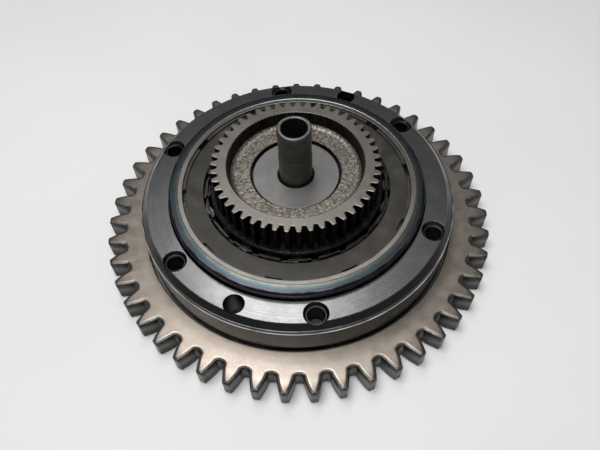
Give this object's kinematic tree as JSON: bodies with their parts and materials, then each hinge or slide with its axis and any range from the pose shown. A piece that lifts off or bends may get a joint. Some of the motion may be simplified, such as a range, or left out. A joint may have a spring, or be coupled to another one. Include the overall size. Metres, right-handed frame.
{
  "type": "one-way clutch starter gear",
  "caption": "Spur ring gear bolted to a sprag one-way clutch housing, with a dished inner spur gear that free-wheels on a central hollow shaft.",
  "frame": {"origin": "centre of the hollow shaft's bore at the underside of the ring gear, which is the face the part rests on", "axes": "+Z along the clutch axis, from the ring gear towards the small gear and the free end of the shaft; +X and +Y lie in the ring gear plane"},
  "size_m": [0.1469, 0.147, 0.0546],
  "materials": {
    "ring_gear_steel": "satin, tumbled",
    "housing_steel": "ground",
    "race_steel": "polished, heat tinted",
    "plate_steel": "dark oiled",
    "spring_steel": "spring temper",
    "cage_steel": "pressed",
    "clip_steel": "bright",
    "pinion_steel": "shot-blasted and ground",
    "bush_bronze": "sintered bronze",
    "shaft_steel": "dark ground",
    "washer_steel": "ground",
    "screw_steel": "black oxide",
    "dowel_steel": "ground",
    "sprag_steel": "polished"
  },
  "bodies": {
    "housing": {"ring_gear": "ring_gear_steel", "housing_ring": "housing_steel", "outer_race": "race_steel", "front_plate": "plate_steel", "rear_plate": "plate_steel", "front_retaining_ring": "spring_steel", "rear_retaining_ring": "spring_steel", "outer_cage": "cage_steel", "ribbon_spring": "spring_steel", "flange_screws": "screw_steel", "dowel_pins": "dowel_steel"},
    "pinion": {"inner_gear": "pinion_steel", "upper_bush": "bush_bronze", "lower_bush": "bush_bronze"},
    "shaft": {"hollow_shaft": "shaft_steel", "thrust_washer": "washer_steel", "shaft_circlip": "spring_steel"},
    "cage": {"inner_cage": "cage_steel", "cage_clips": "clip_steel"},
    "sprag_01": {"sprag_01": "sprag_steel"},
    "sprag_02": {"sprag_02": "sprag_steel"},
    "sprag_03": {"sprag_03": "sprag_steel"},
    "sprag_04": {"sprag_04": "sprag_steel"},
    "sprag_05": {"sprag_05": "sprag_steel"},
    "sprag_06": {"sprag_06": "sprag_steel"},
    "sprag_07": {"sprag_07": "sprag_steel"},
    "sprag_08": {"sprag_08": "sprag_steel"},
    "sprag_09": {"sprag_09": "sprag_steel"},
    "sprag_10": {"sprag_10": "sprag_steel"},
    "sprag_11": {"sprag_11": "sprag_steel"},
    "sprag_12": {"sprag_12": "sprag_steel"},
    "sprag_13": {"sprag_13": "sprag_steel"},
    "sprag_14": {"sprag_14": "sprag_steel"},
    "sprag_15": {"sprag_15": "sprag_steel"},
    "sprag_16": {"sprag_16": "sprag_steel"},
    "sprag_17": {"sprag_17": "sprag_steel"},
    "sprag_18": {"sprag_18": "sprag_steel"},
    "sprag_19": {"sprag_19": "sprag_steel"},
    "sprag_20": {"sprag_20": "sprag_steel"}
  },
  "joints": [
    {"name": "pinion_spin", "type": "hinge", "parent": "housing", "child": "pinion", "pos_m": [0, 0, 0], "axis": [0, 0, 1], "continuous": true},
    {"name": "shaft_spin", "type": "hinge", "parent": "pinion", "child": "shaft", "pos_m": [0, 0, 0], "axis": [0, 0, 1], "continuous": true},
    {"name": "sprag_01_tilt", "type": "hinge", "parent": "housing", "child": "sprag_01", "pos_m": [0.03583, 0, 0.0166], "axis": [0, 0, 1], "range_deg": [0, 10]},
    {"name": "sprag_02_tilt", "type": "hinge", "parent": "housing", "child": "sprag_02", "pos_m": [0.03408, 0.01107, 0.0166], "axis": [0, 0, 1], "range_deg": [0, 10]},
    {"name": "sprag_03_tilt", "type": "hinge", "parent": "housing", "child": "sprag_03", "pos_m": [0.02899, 0.02106, 0.0166], "axis": [0, 0, 1], "range_deg": [0, 10]},
    {"name": "sprag_04_tilt", "type": "hinge", "parent": "housing", "child": "sprag_04", "pos_m": [0.02106, 0.02899, 0.0166], "axis": [0, 0, 1], "range_deg": [0, 10]},
    {"name": "sprag_05_tilt", "type": "hinge", "parent": "housing", "child": "sprag_05", "pos_m": [0.01107, 0.03408, 0.0166], "axis": [0, 0, 1], "range_deg": [0, 10]},
    {"name": "sprag_06_tilt", "type": "hinge", "parent": "housing", "child": "sprag_06", "pos_m": [0, 0.03583, 0.0166], "axis": [0, 0, 1], "range_deg": [0, 10]},
    {"name": "sprag_07_tilt", "type": "hinge", "parent": "housing", "child": "sprag_07", "pos_m": [-0.01107, 0.03408, 0.0166], "axis": [0, 0, 1], "range_deg": [0, 10]},
    {"name": "sprag_08_tilt", "type": "hinge", "parent": "housing", "child": "sprag_08", "pos_m": [-0.02106, 0.02899, 0.0166], "axis": [0, 0, 1], "range_deg": [0, 10]},
    {"name": "sprag_09_tilt", "type": "hinge", "parent": "housing", "child": "sprag_09", "pos_m": [-0.02899, 0.02106, 0.0166], "axis": [0, 0, 1], "range_deg": [0, 10]},
    {"name": "sprag_10_tilt", "type": "hinge", "parent": "housing", "child": "sprag_10", "pos_m": [-0.03408, 0.01107, 0.0166], "axis": [0, 0, 1], "range_deg": [0, 10]},
    {"name": "sprag_11_tilt", "type": "hinge", "parent": "housing", "child": "sprag_11", "pos_m": [-0.03583, 0, 0.0166], "axis": [0, 0, 1], "range_deg": [0, 10]},
    {"name": "sprag_12_tilt", "type": "hinge", "parent": "housing", "child": "sprag_12", "pos_m": [-0.03408, -0.01107, 0.0166], "axis": [0, 0, 1], "range_deg": [0, 10]},
    {"name": "sprag_13_tilt", "type": "hinge", "parent": "housing", "child": "sprag_13", "pos_m": [-0.02899, -0.02106, 0.0166], "axis": [0, 0, 1], "range_deg": [0, 10]},
    {"name": "sprag_14_tilt", "type": "hinge", "parent": "housing", "child": "sprag_14", "pos_m": [-0.02106, -0.02899, 0.0166], "axis": [0, 0, 1], "range_deg": [0, 10]},
    {"name": "sprag_15_tilt", "type": "hinge", "parent": "housing", "child": "sprag_15", "pos_m": [-0.01107, -0.03408, 0.0166], "axis": [0, 0, 1], "range_deg": [0, 10]},
    {"name": "sprag_16_tilt", "type": "hinge", "parent": "housing", "child": "sprag_16", "pos_m": [0, -0.03583, 0.0166], "axis": [0, 0, 1], "range_deg": [0, 10]},
    {"name": "sprag_17_tilt", "type": "hinge", "parent": "housing", "child": "sprag_17", "pos_m": [0.01107, -0.03408, 0.0166], "axis": [0, 0, 1], "range_deg": [0, 10]},
    {"name": "sprag_18_tilt", "type": "hinge", "parent": "housing", "child": "sprag_18", "pos_m": [0.02106, -0.02899, 0.0166], "axis": [0, 0, 1], "range_deg": [0, 10]},
    {"name": "sprag_19_tilt", "type": "hinge", "parent": "housing", "child": "sprag_19", "pos_m": [0.02899, -0.02106, 0.0166], "axis": [0, 0, 1], "range_deg": [0, 10]},
    {"name": "sprag_20_tilt", "type": "hinge", "parent": "housing", "child": "sprag_20", "pos_m": [0.03408, -0.01107, 0.0166], "axis": [0, 0, 1], "range_deg": [0, 10]},
    {"name": "cage_shift", "type": "hinge", "parent": "housing", "child": "cage", "pos_m": [0, 0, 0], "axis": [0, 0, 1], "range_deg": [-1, 0]}
  ],
  "couplings": [
    {"joint": "sprag_02_tilt", "follows": "sprag_01_tilt", "ratio": 1},
    {"joint": "sprag_03_tilt", "follows": "sprag_01_tilt", "ratio": 1},
    {"joint": "sprag_04_tilt", "follows": "sprag_01_tilt", "ratio": 1},
    {"joint": "sprag_05_tilt", "follows": "sprag_01_tilt", "ratio": 1},
    {"joint": "sprag_06_tilt", "follows": "sprag_01_tilt", "ratio": 1},
    {"joint": "sprag_07_tilt", "follows": "sprag_01_tilt", "ratio": 1},
    {"joint": "sprag_08_tilt", "follows": "sprag_01_tilt", "ratio": 1},
    {"joint": "sprag_09_tilt", "follows": "sprag_01_tilt", "ratio": 1},
    {"joint": "sprag_10_tilt", "follows": "sprag_01_tilt", "ratio": 1},
    {"joint": "sprag_11_tilt", "follows": "sprag_01_tilt", "ratio": 1},
    {"joint": "sprag_12_tilt", "follows": "sprag_01_tilt", "ratio": 1},
    {"joint": "sprag_13_tilt", "follows": "sprag_01_tilt", "ratio": 1},
    {"joint": "sprag_14_tilt", "follows": "sprag_01_tilt", "ratio": 1},
    {"joint": "sprag_15_tilt", "follows": "sprag_01_tilt", "ratio": 1},
    {"joint": "sprag_16_tilt", "follows": "sprag_01_tilt", "ratio": 1},
    {"joint": "sprag_17_tilt", "follows": "sprag_01_tilt", "ratio": 1},
    {"joint": "sprag_18_tilt", "follows": "sprag_01_tilt", "ratio": 1},
    {"joint": "sprag_19_tilt", "follows": "sprag_01_tilt", "ratio": 1},
    {"joint": "sprag_20_tilt", "follows": "sprag_01_tilt", "ratio": 1},
    {"joint": "cage_shift", "follows": "sprag_01_tilt", "ratio": -0.081}
  ]
}
